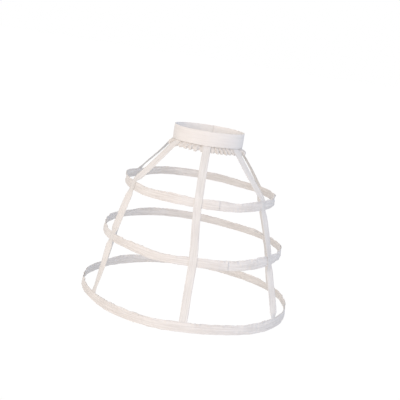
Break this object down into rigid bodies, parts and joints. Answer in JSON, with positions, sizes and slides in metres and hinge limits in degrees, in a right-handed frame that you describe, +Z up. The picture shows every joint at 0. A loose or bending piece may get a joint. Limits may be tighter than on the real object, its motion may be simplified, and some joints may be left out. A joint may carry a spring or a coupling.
{
  "type": "crinoline cage",
  "caption": "Child's crinoline cage: cased spring hoops hung by ribbon tapes from an oval elastic waistband with a gathered frill, worn to hold a skirt out in a bell.",
  "frame": {"origin": "centre of the waistband at half its height, on the axis of the hoops", "axes": "+Z up along the axis of the hoops, +X to the right as seen from the front, and the front faces -Y"},
  "size_m": [0.6033, 0.6033, 0.5],
  "materials": {
    "elastic": "wide white woven elastic, ribbed along its length",
    "frill_cloth": "soft white cotton strip, gathered",
    "ribbon": "white twill tape",
    "casing_cloth": "white plain-weave cotton, lightly creased",
    "spring_steel": "bright tempered strip",
    "crimp_metal": "plated sheet, crimped"
  },
  "bodies": {
    "root": {"waistband": "elastic", "waist_frill": "frill_cloth", "tape_front": "ribbon", "tape_front_right": "ribbon", "tape_back_right": "ribbon", "tape_back": "ribbon", "tape_back_left": "ribbon", "tape_front_left": "ribbon", "hoop_casing_top": "casing_cloth", "hoop_casing_middle": "casing_cloth", "hoop_casing_bottom": "casing_cloth", "hoop_steel_top": "spring_steel", "hoop_steel_middle": "spring_steel", "hoop_steel_bottom": "spring_steel", "hoop_connector_top": "crimp_metal", "hoop_connector_middle": "crimp_metal", "hoop_connector_bottom": "crimp_metal"}
  },
  "joints": []
}
